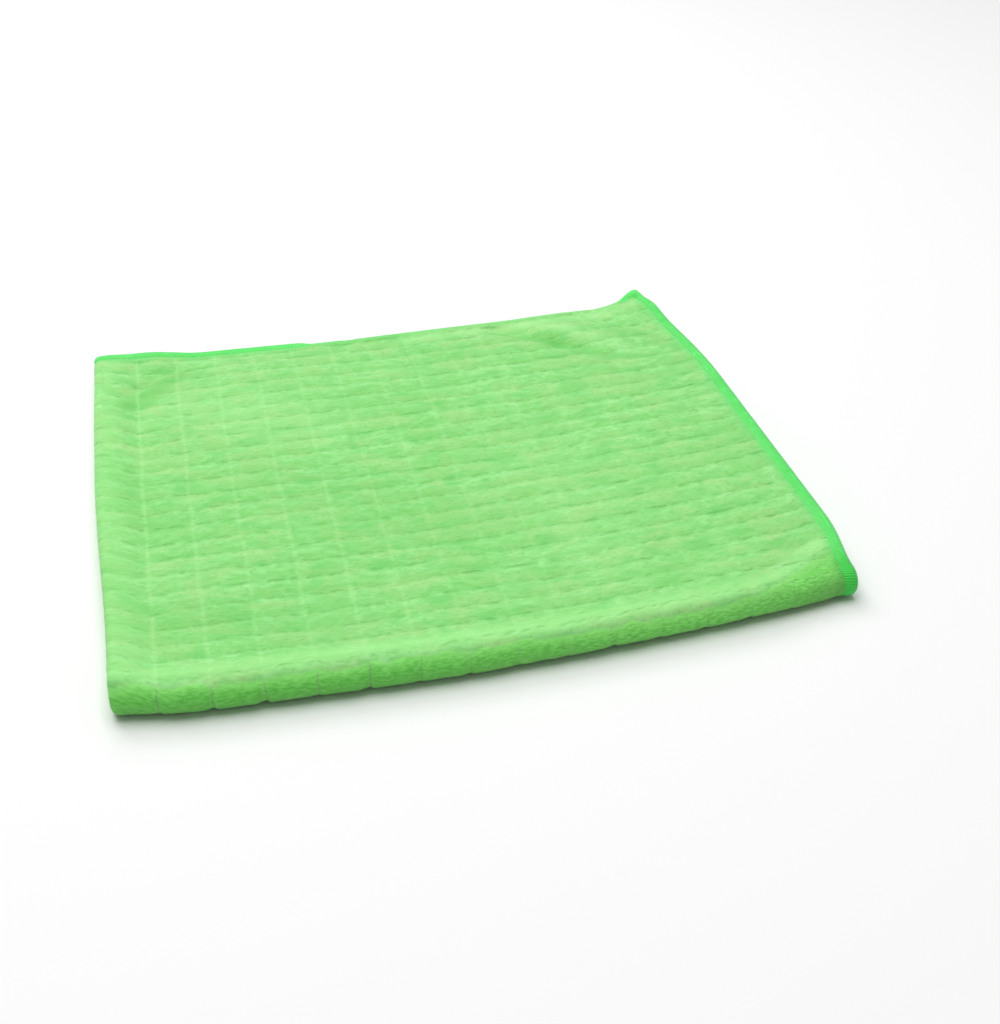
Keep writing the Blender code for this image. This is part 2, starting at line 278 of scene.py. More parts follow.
# The photograph's view, fitted to the cloth's rows and columns
CAMERA_PLACE = (0.03135, -0.29814, 0.24208)       # from CORNER
CAMERA_DOWN = 32.155       # degrees
CAMERA_TURN = 12.69        # degrees, to the right
CAMERA_LENS = 54.06        # mm
CAMERA_SENSOR = 36.0
CAMERA_CLIP = (0.01, 20.0)

# Soft studio light, all aimed at the middle of the floor
Softbox = namedtuple("Softbox", "place width length power")
SOFTBOXES = {
    "back_softbox": Softbox((-0.30, 1.00, 1.15), 1.1, 0.8, 10.0),
    "top_softbox": Softbox((-0.10, 0.00, 1.30), 1.1, 1.1, 12.0),
}
WORLD_STRENGTH = 0.26
FLOOR_HALF = 4.0


def smooth(t):
    """Ease from 0 to 1 with level ends: 3t^2 - 2t^3 of t held between 0 and 1."""
    t = np.clip(t, 0.0, 1.0)
    return t * t * (3.0 - 2.0 * t)


def bell(t):
    """1 at t = 0, falling off to both sides: exp(-t^2)."""
    return np.exp(-t ** 2)


def outline(x, y):
    """Bend the folded outline: the right end turns back, the sides lean, the corners round."""
    across = x / HALF_WIDTH
    along = y / HALF_LENGTH
    turn = TURN_DEPTH * np.clip((x - TURN_START) / TURN_REACH, 0.0, None) ** TURN_POWER
    corner = FRONT_CORNER_SET * (1.0 - along) - BACK_CORNER_SET * along
    lean = LEFT_LEAN * (1.0 - smooth(y / LEFT_LEAN_RUN)) * (1.0 - across)
    swell = RIGHT_SWELL * smooth(y / RIGHT_SWELL_RUN)
    pull = RIGHT_PULL * smooth((y - RIGHT_PULL_START) / RIGHT_PULL_RUN)
    set_back = turn * (1.0 - TURN_FADE * along) + corner * bell(x / LEFT_CORNER_RUN)
    return x + lean + (swell - pull) * across ** 3, y + set_back


def rise_of_forms(forms, x, y):
    """Sum of each form's rise times exp(-(distance to its line / width)^2)."""
    rise = np.zeros_like(x)
    for form in forms.values():
        run = np.array([form.x1 - form.x0, form.y1 - form.y0])
        along = ((x - form.x0) * run[0] + (y - form.y0) * run[1]) / (run @ run)
        along = np.clip(along, 0.0, 1.0)
        distance = np.hypot(x - form.x0 - along * run[0], y - form.y0 - along * run[1])
        rise = rise + form.rise * bell(distance / form.width)
    return rise


def middle_of_sheet(u, v):
    """Place of the sheet's middle at (u, v), and how far its pile is pressed there.

    The first fold is a half circle of half the pitch with straight runs: it gives x and the
    height n over the middle of the doubled cloth. The second fold carries that section along a
    path: straight under, round the front at its radius plus n, and straight back on top. Then
    the outline bends, its bound corner is drawn in and the stack stretches in height."""
    bend = HALF_PITCH * math.pi / 2
    angle = np.clip(u / HALF_PITCH, -math.pi / 2, math.pi / 2)
    x = HALF_THICKNESS + HALF_PITCH * (1.0 - np.cos(angle)) + np.clip(np.abs(u) - bend, 0.0, None)
    n = HALF_PITCH * np.sin(angle)

    path_radius = ROLL_RADIUS + SLIP * n
    turn = np.clip(v / path_radius, -math.pi / 2, math.pi / 2)
    past = np.clip(np.abs(v) - path_radius * math.pi / 2, 0.0, None)
    front = ROLL_RADIUS + HALF_PITCH + HALF_THICKNESS
    y = front - (ROLL_RADIUS + n) * np.cos(turn) + past
    z = front + (ROLL_RADIUS + n) * np.sin(turn)
    settle = 2.0 * (ROLL_RADIUS - PITCH) * smooth(past / ROLL_RUN)
    z = z - np.where(v > 0.0, settle, 0.0)

    x, y = outline(x, y)
    to_tip = np.hypot(x - TIP_PLACE[0], y - TIP_PLACE[1])
    x = x - TIP_PULL * bell(to_tip / TIP_PULL_RUN)
    rise = rise_of_forms(STACK_FORMS, x, y) + rise_of_forms(FINE_FORMS, x, y)
    stretch = 1.0 + rise / STACK_HEIGHT
    pressed = np.minimum(stretch, 1.0)
    z = HALF_THICKNESS * pressed + (z - HALF_THICKNESS) * stretch
    return np.stack([x, y, z], axis=-1), pressed


def folded(u, v, w):
    """Fold flat points: the sheet's middle at (u, v), then w along its normal, which is the
    cross product of its slopes in u and v. Nothing goes under the table."""
    u, v, w = np.broadcast_arrays(u, v, w)
    centre, pressed = middle_of_sheet(u, v)
    along_u = middle_of_sheet(u + PROBE, v)[0] - middle_of_sheet(u - PROBE, v)[0]
    along_v = middle_of_sheet(u, v + PROBE)[0] - middle_of_sheet(u, v - PROBE)[0]
    normal = np.cross(along_u, along_v)
    normal /= np.linalg.norm(normal, axis=-1, keepdims=True)
    points = centre + (w * pressed)[..., None] * normal
    points[..., 2] = np.maximum(points[..., 2], 0.0)
    return points + CORNER


# ---------------------------------------------------------------- the grid and the uneven pile

def wander(a, b, seed):
    """Smooth uneven values from -1 to 1, one random value at each whole (a, b), eased between.
    They repeat after TABLE whole steps."""
    table = np.random.default_rng(seed).uniform(-1.0, 1.0, (TABLE, TABLE))
    i, j = np.floor(a).astype(int), np.floor(b).astype(int)
    s, t = smooth(a - i), smooth(b - j)
    i, j, right, up = i % TABLE, j % TABLE, (i + 1) % TABLE, (j + 1) % TABLE
    low = table[i, j] * (1.0 - s) + table[right, j] * s
    high = table[i, up] * (1.0 - s) + table[right, up] * s
    return low * (1.0 - t) + high * t


def unevenness(waves, a, b):
    """Sum of each wave's size times its uneven values, spread out by its across and along."""
    return sum(wave.size * wander(a / wave.across, b / wave.along, wave.seed) for wave in waves)


def uneven_share(spread, a, b):
    """A spread's mean plus its size times its uneven values."""
    a = a * spread.across + spread.shift
    return spread.mean + spread.size * wander(a, b * spread.along, spread.seed)


def grid_place(u, v):
    """Column and row coordinates, whole on each line of the grid. The columns shear with the
    left side, and the rows crowd at the front, sweep back at both sides and wander a little."""
    lean = LEFT_LEAN * (1.0 - smooth(np.abs(v) / LEFT_LEAN_RUN))
    column = (u - COLUMN_SET + COLUMN_LEAN * lean) / COLUMN_PITCH
    crowd = ROW_CROWD * bell(v / ROW_CROWD_RUN)
    sweep = LEFT_SWEEP * bell(u / LEFT_SWEEP_RUN)
    sweep = sweep + RIGHT_SWEEP * bell((HALF_WIDTH - np.abs(u)) / RIGHT_SWEEP_RUN)
    row = (v - ROW_SET - crowd - sweep + unevenness(ROW_WAVES, u, v)) / ROW_PITCH
    return column + unevenness(COLUMN_WAVES, u, v), row


def bend_of_pile(u, v):
    """Where light and shade are painted on the pile round its bends: up to 1 for a painted
    highlight, in a soft band along the crest of the round front and less so on the left fold,
    down to -1 for painted shade on the front itself, and on to -2 for deeper painted shade where
    that turns under and at the bound corner. The crest is fainter at the left. Crest and front
    sink a little to the right, then swing back to the corner. The top of the front wavers a
    little, and its painted shade fades out under the stack."""
    at_right = smooth((u - CREST_TURN) / (HALF_WIDTH - CREST_TURN))
    sink = SINK * smooth((u - SINK_START) / SINK_RUN)
    below = smooth((v - BELOW_END) / BELOW_RUN)

    top = FRONT_TOP - sink + FRONT_RISE * at_right + unevenness(FRONT_WAVES, u, v)
    front = below * smooth((top - v) / (FRONT_RUN + CORNER_RUN * at_right))
    under = smooth((UNDER_TOP - UNDER_SINK * sink - v) / UNDER_RUN)
    corner = CORNER_UNDER * at_right * smooth((CORNER_UNDER_TOP - v) / CORNER_UNDER_RUN)
    under = below * (under + corner)

    full = smooth(u / CREST_FULL_RUN)
    middle = CREST - CREST_DROP * full - CREST_SINK * sink + CREST_RISE * at_right
    strength = CREST_AT_LEFT + (1.0 - CREST_AT_LEFT) * full
    crest = strength * bell((v - middle) / CREST_HALF)
    left = LEFT_HIGHLIGHT * smooth((u - LEFT_HIGHLIGHT_IN[0]) / LEFT_HIGHLIGHT_IN[1])
    left = left * (1.0 - smooth((u - LEFT_HIGHLIGHT_OUT[0]) / LEFT_HIGHLIGHT_OUT[1]))
    return np.maximum(crest, left) * (1.0 - front) - front - under


def channel(off_line, half):
    """A channel's section, 1 on its line: exp(-|distance / half|^power)."""
    return np.exp(-np.abs(off_line / half) ** CHANNEL_POWER)


def relief(u, v):
    """Height of the pile over its plain face: pads crowned between the rows, less the rows and
    columns, each a dip whose depth wanders from pad to pad, on slow uneven waves. Rows close up
    where the cloth bends and where they cross a column, and the columns deepen round the front.
    The pads lie flatter there and on the right, and all of it is drawn flat on the left fold."""
    column, row = grid_place(u, v)
    off_column = (column - np.round(column)) * COLUMN_PITCH
    off_row = (row - np.round(row)) * ROW_PITCH
    bend = bend_of_pile(u, v)

    depth = np.maximum(uneven_share(ROW_SPREAD, column, np.round(row)), 0.0)
    rows = ROW_DEPTH * depth * channel(off_row, ROW_HALF)
    rows = rows * (1.0 - BENT_FADE * np.minimum(np.abs(bend), 1.0))
    rows = rows * (1.0 - CROSSING_FADE * bell(off_column / CROSSING_HALF))

    depth = uneven_share(GROOVE_SPREAD, np.round(column), v) * np.clip(-bend, 0.0, 1.0)
    depth = depth * (1.0 - GROOVE_FADE * smooth(u / GROOVE_FADE_RUN))
    columns = (COLUMN_DEPTH + GROOVE_DEPTH * depth) * channel(off_column, COLUMN_HALF)

    pad = 0.5 - 0.5 * np.cos(2.0 * math.pi * off_row / ROW_PITCH)
    to_end = 1.0 - np.abs(2.0 * off_column / COLUMN_PITCH)
    pad = pad * (1.0 - PAD_END * to_end ** PAD_END_POWER)
    flat = 1.0 - RIGHT_FLAT * smooth((u - RIGHT_FLAT_START) / RIGHT_FLAT_RUN)
    flat = flat * (1.0 - FRONT_FLAT * bell(v / FRONT_FLAT_RUN))
    pads = CROWN * uneven_share(CROWN_SPREAD, column, row) * flat * (pad - 0.5)

    at_fold = 1.0 - FOLD_FADE * bell(u / FOLD_FADE_HALF)
    return (pads - PILE_SET + unevenness(PILE_WAVES, u, v) - rows) * at_fold - columns


# ---------------------------------------------------------------- meshes

def add_piece(name, points, faces, material, maps=None):
    """Make one piece from an array of points and an array or list of faces. maps holds float
    attributes of the points, by name."""
    mesh = bpy.data.meshes.new(name)
    mesh.from_pydata(points.reshape(-1, 3).tolist(), [], [list(face) for face in faces])
    for attribute, values in (maps or {}).items():
        values = np.asarray(values, np.float32)
        kind, field = ("FLOAT2", "vector") if values.ndim == 2 else ("FLOAT", "value")
        layer = mesh.attributes.new(attribute, kind, "POINT")
        layer.data.foreach_set(field, values.ravel())
    mesh.shade_smooth()
    mesh.materials.append(material)
    obj = bpy.data.objects.new(name, mesh)
    bpy.context.scene.collection.objects.link(obj)
    return obj


def grid_faces(rows, columns, start=0):
    """Quads of a grid of points whose numbers start at start, as an array."""
    number = start + np.arange(rows * columns).reshape(rows, columns)
    corners = [number[:-1, :-1], number[1:, :-1], number[1:, 1:], number[:-1, 1:]]
    return np.stack(corners, axis=-1).reshape(-1, 4)


def spaced(start, end, step):
    """Even places from start to end, both included, about step apart."""
    return np.linspace(start, end, max(2, int(round((end - start) / step)) + 1))


def lines_of_points(fold, pitch, channel_half, half_size, first):
    """Places of the lines of points across the cloth. Round the fold they are close. On the
    shown half each channel of the grid has nine lines and each pad three more. The hidden half
    has a line about every 5 mm. The last lines go into the binding."""
    beside = np.array(CHANNEL_LINES) * channel_half
    share = np.concatenate([beside, np.array(PAD_LINES) * pitch, pitch - beside[:0:-1]])
    count = int(half_size / pitch) + 2
    places = (np.arange(count)[:, None] * pitch + first + share[None, :]).ravel()
    rim = half_size - np.array(RIM_LINES)
    shown = places[(places > FOLD_CLEAR * fold) & (places < rim[0] - RIM_GAP)]
    bend = spaced(-fold, fold, fold / FOLD_STEPS)
    hidden = -spaced(HIDDEN_START * fold, rim[0], HIDDEN_STEP)[::-1]
    return np.concatenate([-rim[::-1], hidden[1:], bend, shown, rim])


def corner_reach(angle):
    """How far a corner is drawn out at an angle, in its radius: 1 towards both sides, and
    between them 1 / larger of (cos, sin), to a power that goes from round to square."""
    return np.maximum(np.abs(np.cos(angle)), np.abs(np.sin(angle))) ** -CORNER_POINT


def past_corner(u, v):
    """How far a point lies past the centre of the nearest corner's radius in u and in v, if it
    is in that corner, and its reach from there as a share of the way to the drawn-out edge."""
    past_u = np.abs(u) - (HALF_WIDTH - CORNER_RADIUS)
    past_v = np.abs(v) - (HALF_LENGTH - CORNER_RADIUS)
    in_corner = (past_u > 0.0) & (past_v > 0.0)
    reach = np.hypot(past_u, past_v) / corner_reach(np.arctan2(past_v, past_u))
    return past_u, past_v, in_corner, reach


def pile_profile(u, v):
    """Half thickness of the sheet: full on the cloth, pressed down over 2 mm to the binding, and
    a thin tongue within it. Also gives the pile's share of its rise, and the depth inside the
    edge."""
    past_u, past_v, in_corner, reach = past_corner(u, v)
    depth = CORNER_RADIUS - np.where(in_corner, reach, np.maximum(past_u, past_v))
    rise = smooth((depth - PILE_START) / PILE_START_RUN)
    return TONGUE_HALF + (HALF_THICKNESS - TONGUE_HALF) * rise, rise, depth


def round_corners(u, v, radius):
    """Draw the points outside a round corner in to it, for a rim that lies in the binding."""
    past_u, past_v, in_corner, reach = past_corner(u, v)
    keep = np.where(in_corner, np.minimum(1.0, radius / np.maximum(reach, 1e-9)), 1.0)
    return u - np.sign(u) * past_u * (1.0 - keep), v - np.sign(v) * past_v * (1.0 - keep)


def cloth_face(u_lines, v_lines, side):
    """Points of one face of the sheet: its half thickness, with the grid's relief on it. Also
    gives the attributes that its material reads."""
    u, v = np.meshgrid(u_lines, v_lines, indexing="ij")
    u, v = round_corners(u, v, CORNER_RADIUS - RIM_LINES[-1])
    half, rise, depth = pile_profile(u, v)
    if side > 0:
        seen = smooth((u - SEEN_U[0]) / SEEN_U[1]) * smooth((v - SEEN_V[0]) / SEEN_V[1])
        half = half + relief(u, v) * rise * seen
    place = middle_of_sheet(u, v)[0]
    # light and shade painted into the pile along given lines
    stroke = rise_of_forms(PAINTED_LIGHT_LINES, place[..., 0], place[..., 1])
    stroke = stroke * smooth(u / PAINTED_LIGHT_IN_U) * smooth(v / PAINTED_LIGHT_IN_V)
    maps = {"cells": np.stack(grid_place(u, v), axis=-1), "edge": depth,
            "bend": bend_of_pile(u, v), "stroke": stroke}
    return folded(u, v, side * half), maps


def rim_numbers(rows, columns):
    """Numbers of a grid's rim points, once round."""
    number = np.arange(rows * columns).reshape(rows, columns)
    return np.concatenate([number[:-1, 0], number[-1, :-1], number[:0:-1, -1], number[0, :0:-1]])


def make_cloth(material):
    """The folded sheet. Its face with the grid has close lines of points, its inner face some of
    them, and one strip of faces round the rim joins the two."""
    fold_u = HALF_PITCH * math.pi / 2
    fold_v = ROLL_RADIUS * math.pi / 2
    u_lines = lines_of_points(fold_u, COLUMN_PITCH, COLUMN_HALF, HALF_WIDTH, COLUMN_SET)
    v_lines = lines_of_points(fold_v, ROW_PITCH, ROW_HALF, HALF_LENGTH, ROW_SET)

    def coarse(lines, every):
        """Numbers of the lines that the inner face keeps, with all of those at the rim."""
        keep = np.zeros(len(lines), bool)
        keep[::every] = True
        keep[:len(RIM_LINES)] = keep[-len(RIM_LINES):] = True
        return np.flatnonzero(keep)

    keep_u, keep_v = coarse(u_lines, INNER_EVERY[0]), coarse(v_lines, INNER_EVERY[1])
    outer, outer_maps = cloth_face(u_lines, v_lines, 1.0)
    inner, inner_maps = cloth_face(u_lines[keep_u], v_lines[keep_v], -1.0)

    start = outer.shape[0] * outer.shape[1]
    faces = list(grid_faces(*outer.shape[:2]))
    faces += list(grid_faces(*inner.shape[:2], start)[:, ::-1])
    outer_rim = rim_numbers(*outer.shape[:2])
    inner_rim = start + rim_numbers(*inner.shape[:2])
    shared = np.zeros(outer.shape[:2], bool)
    shared[np.ix_(keep_u, keep_v)] = True
    stops = np.flatnonzero(shared.ravel()[outer_rim])
    stops = np.append(stops, len(outer_rim))
    for i, (begin, end) in enumerate(zip(stops[:-1], stops[1:])):
        above = outer_rim[np.arange(begin, end + 1) % len(outer_rim)]
        below = inner_rim[[(i + 1) % len(inner_rim), i]]
        faces.append(np.concatenate([above[::-1], below[::-1]]))

    points = np.concatenate([outer.reshape(-1, 3), inner.reshape(-1, 3)])
    maps = {}
    for name, values in outer_maps.items():
        pair = [part.reshape((-1,) + values.shape[2:]) for part in (values, inner_maps[name])]
        maps[name] = np.concatenate(pair)
    return add_piece("folded_cloth", points, faces, material, maps)


def rim_place(along):
    """Centre of the corner radius and outward angle at a length along the cloth's edge, which
    runs straight up the right side and on round the cloth, counter-clockwise."""
    u_in, v_in = HALF_WIDTH - CORNER_RADIUS, HALF_LENGTH - CORNER_RADIUS
    quarter = CORNER_RADIUS * math.pi / 2
    u_stops = [u_in, u_in, u_in, -u_in, -u_in, -u_in, -u_in, u_in, u_in]
    v_stops = [-v_in, v_in, v_in, v_in, v_in, -v_in, -v_in, -v_in, -v_in]
    turns = [0, 0, 1, 1, 2, 2, 3, 3, 4]
    lengths = np.cumsum([0.0] + [2 * v_in, quarter, 2 * u_in, quarter] * 2)
    along = np.mod(along, lengths[-1])
    centre_u = np.interp(along, lengths, u_stops)
    centre_v = np.interp(along, lengths, v_stops)
    return centre_u, centre_v, np.interp(along, lengths, turns) * math.pi / 2


def on_rim(along, depth, height):
    """Folded place of a point at a length along the edge, a depth inside it and a height over
    the sheet's middle. Also gives the attributes that the thread's material reads."""
    centre_u, centre_v, angle = rim_place(along)
    reach = (CORNER_RADIUS - depth) * corner_reach(angle)
    u, v = centre_u + reach * np.cos(angle), centre_v + reach * np.sin(angle)
    points = folded(u, v, height)
    shape = points.shape[:-1]
    return points, {"edge": np.broadcast_to(depth, shape).ravel(),
                    "bend": np.broadcast_to(bend_of_pile(u, v), shape).ravel()}


def band_section(count):
    """Section of the bound edge, as depth and height: an oval bead that is fullest just inside
    the edge and runs down to the cloth. It goes from the edge over the top and back below."""
    turn = np.linspace(0.0, 2.0 * math.pi, count, endpoint=False)
    depth = 0.5 * BINDING_DEPTH * (1.0 - np.cos(turn))
    return depth, BAND_HALF * np.sin(turn) * (1.0 + BEAD_LEAN * np.cos(turn))


def make_band(material):
    """The dense ground of the bound edge: its section carried round the whole rim, with a width
    that swells a little from place to place."""
    depth, height = band_section(BAND_POINTS)
    along = np.linspace(0.0, RIM_LENGTH, BAND_STATIONS, endpoint=False)[:, None]
    swell = 1.0 + unevenness(BAND_WAVES, along, along * 0.0)
    points, maps = on_rim(along, depth[None, :] * swell, height[None, :] * swell)
    number = np.arange(BAND_STATIONS * BAND_POINTS).reshape(BAND_STATIONS, BAND_POINTS)
    after = np.roll(number, -1, axis=0)
    faces = np.stack([number, np.roll(number, -1, axis=1), np.roll(after, -1, axis=1), after],
                     axis=-1).reshape(-1, 4)
    return add_piece("overlock_band", points, faces, material, maps)


def make_turns(material):
    """The looper thread, turn by turn: a tube whose path starts at the edge, crosses the band
    aslant on top, goes through the cloth and comes back to the edge below. With t from half a
    turn down to minus half a turn, its depth is (1 + cos t) / 2 of the binding's and its height
    goes by sin t (1 - lean cos t)."""
    count = int(RIM_LENGTH / THREAD_GAP)
    start = np.arange(count)[:, None, None] * (RIM_LENGTH / count)
    reach = THREAD_REACH * math.pi
    turn = np.linspace(reach, -reach, THREAD_STATIONS)[None, :, None]
    ring = ((np.arange(THREAD_SIDES) + 0.5) * 2.0 * math.pi / THREAD_SIDES)[None, None, :]
    slack = unevenness(SLACK_WAVES, start, start * 0.0)
    thick = THREAD_RADIUS * (1.0 + THREAD_SPREAD * slack)
    out = thick * np.sin(ring)

    slant = THREAD_SLANT * np.cos(turn) + THREAD_SLACK * slack
    along = start + slant + thick * np.cos(ring)
    depth = 0.5 * BINDING_DEPTH * (1.0 + np.cos(turn)) + THREAD_PRESSED * out * np.cos(turn)
    height = THREAD_HALF * np.sin(turn) * (1.0 - BEAD_LEAN * np.cos(turn)) + out * np.sin(turn)
    depth = np.maximum(depth, 0.0)
    height = np.clip(height, -THREAD_TOP, THREAD_TOP)
    points, maps = on_rim(*np.broadcast_arrays(along, depth, height))

    number = np.arange(points.shape[0] * THREAD_STATIONS * THREAD_SIDES)
    number = number.reshape(-1, THREAD_STATIONS, THREAD_SIDES)
    here, there = number[:, :-1], number[:, 1:]
    sides = np.stack([here, np.roll(here, -1, axis=2), np.roll(there, -1, axis=2), there], axis=-1)
    ends = np.concatenate([number[:, 0, ::-1], number[:, -1, :]])
    faces = np.concatenate([sides.reshape(-1, 4), ends])
    return add_piece("looper_thread", points, faces, material, maps)


# ---------------------------------------------------------------- materials

def linear(colour):
    """An sRGB hex colour as linear red, green, blue and alpha."""
    parts = np.array([int(colour[i:i + 2], 16) for i in (1, 3, 5)]) / 255.0
    parts = np.where(parts <= 0.04045, parts / 12.92, ((parts + 0.055) / 1.055) ** 2.4)
    return (*parts, 1.0)


def add_node(material, kind, inputs=None, **settings):
    """Add one node. inputs gives a socket, by name or number, a value or another node's output."""
    node = material.node_tree.nodes.new("ShaderNode" + kind)
    for name, value in settings.items():
        setattr(node, name, value)
    for name, value in (inputs or {}).items():
        if isinstance(value, bpy.types.NodeSocket):
            material.node_tree.links.new(value, node.inputs[name])
        else:
            node.inputs[name].default_value = value
    return node


# How strongly a tint is laid: from low to high, while a node's output goes from start to end
Share = namedtuple("Share", "of start end low high")


def lay_tints(material, colour, layers):
    """Lay tints over a colour, one after another. A colour or tint is a hex colour or a node's
    output, and its strength is the product of what follows it: node outputs and shares."""
    for tint, *parts in layers:
        strength = None
        for part in parts:
            if isinstance(part, Share):
                part = add_node(material, "MapRange", {
                    "Value": part.of, "From Min": part.start, "From Max": part.end,
                    "To Min": part.low, "To Max": part.high}).outputs[0]
            if strength is not None:
                part = add_node(material, "Math", {0: strength, 1: part},
                                operation="MULTIPLY").outputs[0]
            strength = part
        below, above = [linear(c) if isinstance(c, str) else c for c in (colour, tint)]
        colour = add_node(material, "Mix", {0: strength, 6: below, 7: above},
                          data_type="RGBA").outputs[2]
    return colour


def new_material(name):
    """A material whose node tree is empty."""
    material = bpy.data.materials.new(name)
    material.use_nodes = True
    material.node_tree.nodes.clear()
    return material


# Patterns of the pile, in mm: how they are squeezed across and along, their scale and detail
Pattern = namedtuple("Pattern", "across along scale detail roughness")
PATTERNS = {
    # loops of pile about 1 mm apart, a little longer across than along
    "loops": Pattern(0.74, 1.16, 0.90, 1.6, 0.50),
    # courses of the knit 0.7 mm apart, that wander and break up
    "courses": Pattern(0.50, 1.90, 1.00, 1.5, 0.55),
    # tufts of pile that lean together, 4 mm across
    "tufts": Pattern(0.74, 1.16, 0.36, 2.0, 0.50),
    # patches where the pile was stroked the other way, 12 mm across, and broader clouds of them
    "patches": Pattern(0.74, 1.16, 0.13, 2.0, 0.50),
    "clouds": Pattern(1.00, 1.00, 0.035, 1.0, 0.50),
    # ragged lines of the grid
    "ragged": Pattern(1.00, 1.00, 0.60, 2.0, 0.50),
    # places where the channel between two rows of pads breaks off
    "breaks": Pattern(0.26, 0.40, 1.00, 1.0, 0.50),
}
RAGGED = 0.18              # how far the lines of the grid stray, in pads


def pile_values(m):
    """Values that the pile's look is made from, by name: the sheet's attributes, the patterns,
    and the place in the grid with its lines, in pads and a little ragged."""
    value = {name: add_node(m, "Attribute", attribute_name=name).outputs["Fac"]
             for name in ("edge", "bend", "stroke")}
    cells = add_node(m, "Attribute", attribute_name="cells").outputs["Vector"]
    pad_size = (COLUMN_PITCH * 1000.0, ROW_PITCH * 1000.0, 1.0)
    place = add_node(m, "VectorMath", {0: cells, 1: pad_size}, operation="MULTIPLY").outputs[0]
    hue = {}
    for name, pattern in PATTERNS.items():
        drawn = add_node(m, "VectorMath", {0: place, 1: (pattern.across, pattern.along, 1.0)},
                         operation="MULTIPLY").outputs[0]
        noise = add_node(m, "TexNoise", {"Vector": drawn, "Scale": pattern.scale, "Detail":
                                         pattern.detail, "Roughness": pattern.roughness})
        value[name], hue[name] = noise.outputs["Fac"], noise.outputs["Color"]
    value["yellow"] = add_node(m, "SeparateColor", {0: hue["patches"]}).outputs["Green"]

    # the place in pads, its pad's own tone and how far over the pad it is
    stray = add_node(m, "VectorMath", {0: hue["ragged"], 1: (0.5, 0.5, 0.5)},
                     operation="SUBTRACT").outputs[0]
    stray = add_node(m, "VectorMath", {0: stray, "Scale": RAGGED}, operation="SCALE").outputs[0]
    ragged = add_node(m, "VectorMath", {0: cells, 1: stray}, operation="ADD").outputs[0]
    across, along = add_node(m, "SeparateXYZ", {0: ragged}).outputs[:2]
    value["across"] = across
    value["over_pad"] = add_node(m, "Math", {0: along}, operation="FRACT").outputs[0]
    pad = add_node(m, "VectorMath", {0: ragged}, operation="FLOOR").outputs[0]
    value["tone"] = add_node(m, "TexWhiteNoise", {"Vector": pad}).outputs["Value"]
    # lines of the grid, 1 in the middle: a column, its groove round the front, and a row, whose
    # channel closes up here and there
    for name, way, reach in (("column", across, 0.080), ("groove", across, 0.050),
                             ("row", along, 0.125)):
        away = add_node(m, "Math", {0: way, 1: 0.5}, operation="PINGPONG").outputs[0]
        value[name] = add_node(m, "MapRange", {"Value": away, "From Max": reach, "To Min": 1.0,
                                               "To Max": 0.0},
                               interpolation_type="SMOOTHSTEP").outputs[0]
    value["closing"] = add_node(m, "MapRange", {"Value": value["breaks"], "From Min": 0.42,
                                                "From Max": 0.62}).outputs[0]
    value["row"] = add_node(m, "Math", {0: value["row"], 1: value["closing"]},
                            operation="MULTIPLY").outputs[0]
    value["front"] = add_node(m, "MapRange", {"Value": value["bend"],
                                              "From Max": -1.0}).outputs[0]
    return SimpleNamespace(**value)


def pile_colour(m, value):
    """The pile's colour, laid from the ground up, with painted light and shade laid in."""
    # painted shade for the front, deepest at the left and duller at the bound corner
    side = lay_tints(m, "#a0ff84", [
        ("#94e07c", Share(value.across, 12.0, 14.5, 0.0, 1.0)),
        ("#7ae162", Share(value.across, 5.0, 11.0, 1.0, 0.60), value.front)])
    # painted shade in the rows' channels on top, and a painted highlight along them on the front
    mark = lay_tints(m, "#5cb84e", [("#a4ee8c", value.front)])
    # pressed beside the binding it takes on its green, with painted shade round the front
    pressed = lay_tints(m, "#76e27a", [("#50b04c", value.front)])
    return lay_tints(m, "#8bda7b", [
        ("#a5ed98", Share(value.tufts, 0.34, 0.66, 0.0, 1.0)),
        ("#86d674", Share(value.clouds, 0.40, 0.62, 0.0, 0.35)),
        ("#78d270", Share(value.patches, 0.50, 0.72, 0.0, 0.85)),
        # some patches are a little yellower, and pads differ in tone
        ("#aedc8c", Share(value.yellow, 0.46, 0.62, 0.0, 0.50)),
        ("#80d874", Share(value.tone, 0.20, 1.0, 0.0, 0.32)),
        # painted shade between the loops
        ("#5cb84c", Share(value.loops, 0.46, 0.30, 0.0, 0.32)),
        # painted light and shade on each pad: a painted highlight towards its back edge, painted
        # shade towards its front
        ("#78cc66", Share(value.over_pad, 0.0, 1.0, 0.58, -0.12),
         Share(value.closing, 0.0, 1.0, 0.60, 1.0), Share(value.over_pad, 0.0, 0.10, 0.0, 1.0)),
        # painted highlights on ridges and painted shade in creases and hollows, along given lines
        ("#b4f4a2", Share(value.stroke, 0.0, 1.0, 0.0, 1.0)),
        ("#70c862", Share(value.stroke, 0.0, -1.0, 0.0, 1.0)),
        # a painted highlight along the crest, painted shade on the front, with painted shade
        # between its courses as streaks, and deeper painted shade where the front turns under
        ("#b0fb9d", Share(value.bend, 0.0, 1.0, 0.0, 0.62)),
        (side, Share(value.bend, 0.0, -0.38, 0.0, 0.95)),
        ("#5cbe44", Share(value.courses, 0.60, 0.38, 0.0, 0.70), value.front),
        ("#62a84c", Share(value.bend, -1.0, -2.0, 0.0, 0.65)),
        # the rows' painted shade fades along the crest and the left fold. A column is a broken
        # pale line on top and painted shade in its groove round the front, and both fade out to
        # the right.
        (mark, value.row, Share(value.bend, 0.0, 1.0, 0.32, 0.04)),
        ("#b8f4a6", value.column, Share(value.across, 1.0, 12.0, 0.25, 0.06),
         Share(value.tufts, 0.20, 0.50, 0.0, 1.0)),
        ("#5aa845", value.groove, Share(value.across, 2.0, 8.0, 0.60, 0.25), value.front),
        (pressed, Share(value.edge, 0.0040, 0.0066, 0.90, 0.0),
         Share(value.tufts, 0.34, 0.66, 0.5, 1.0))])


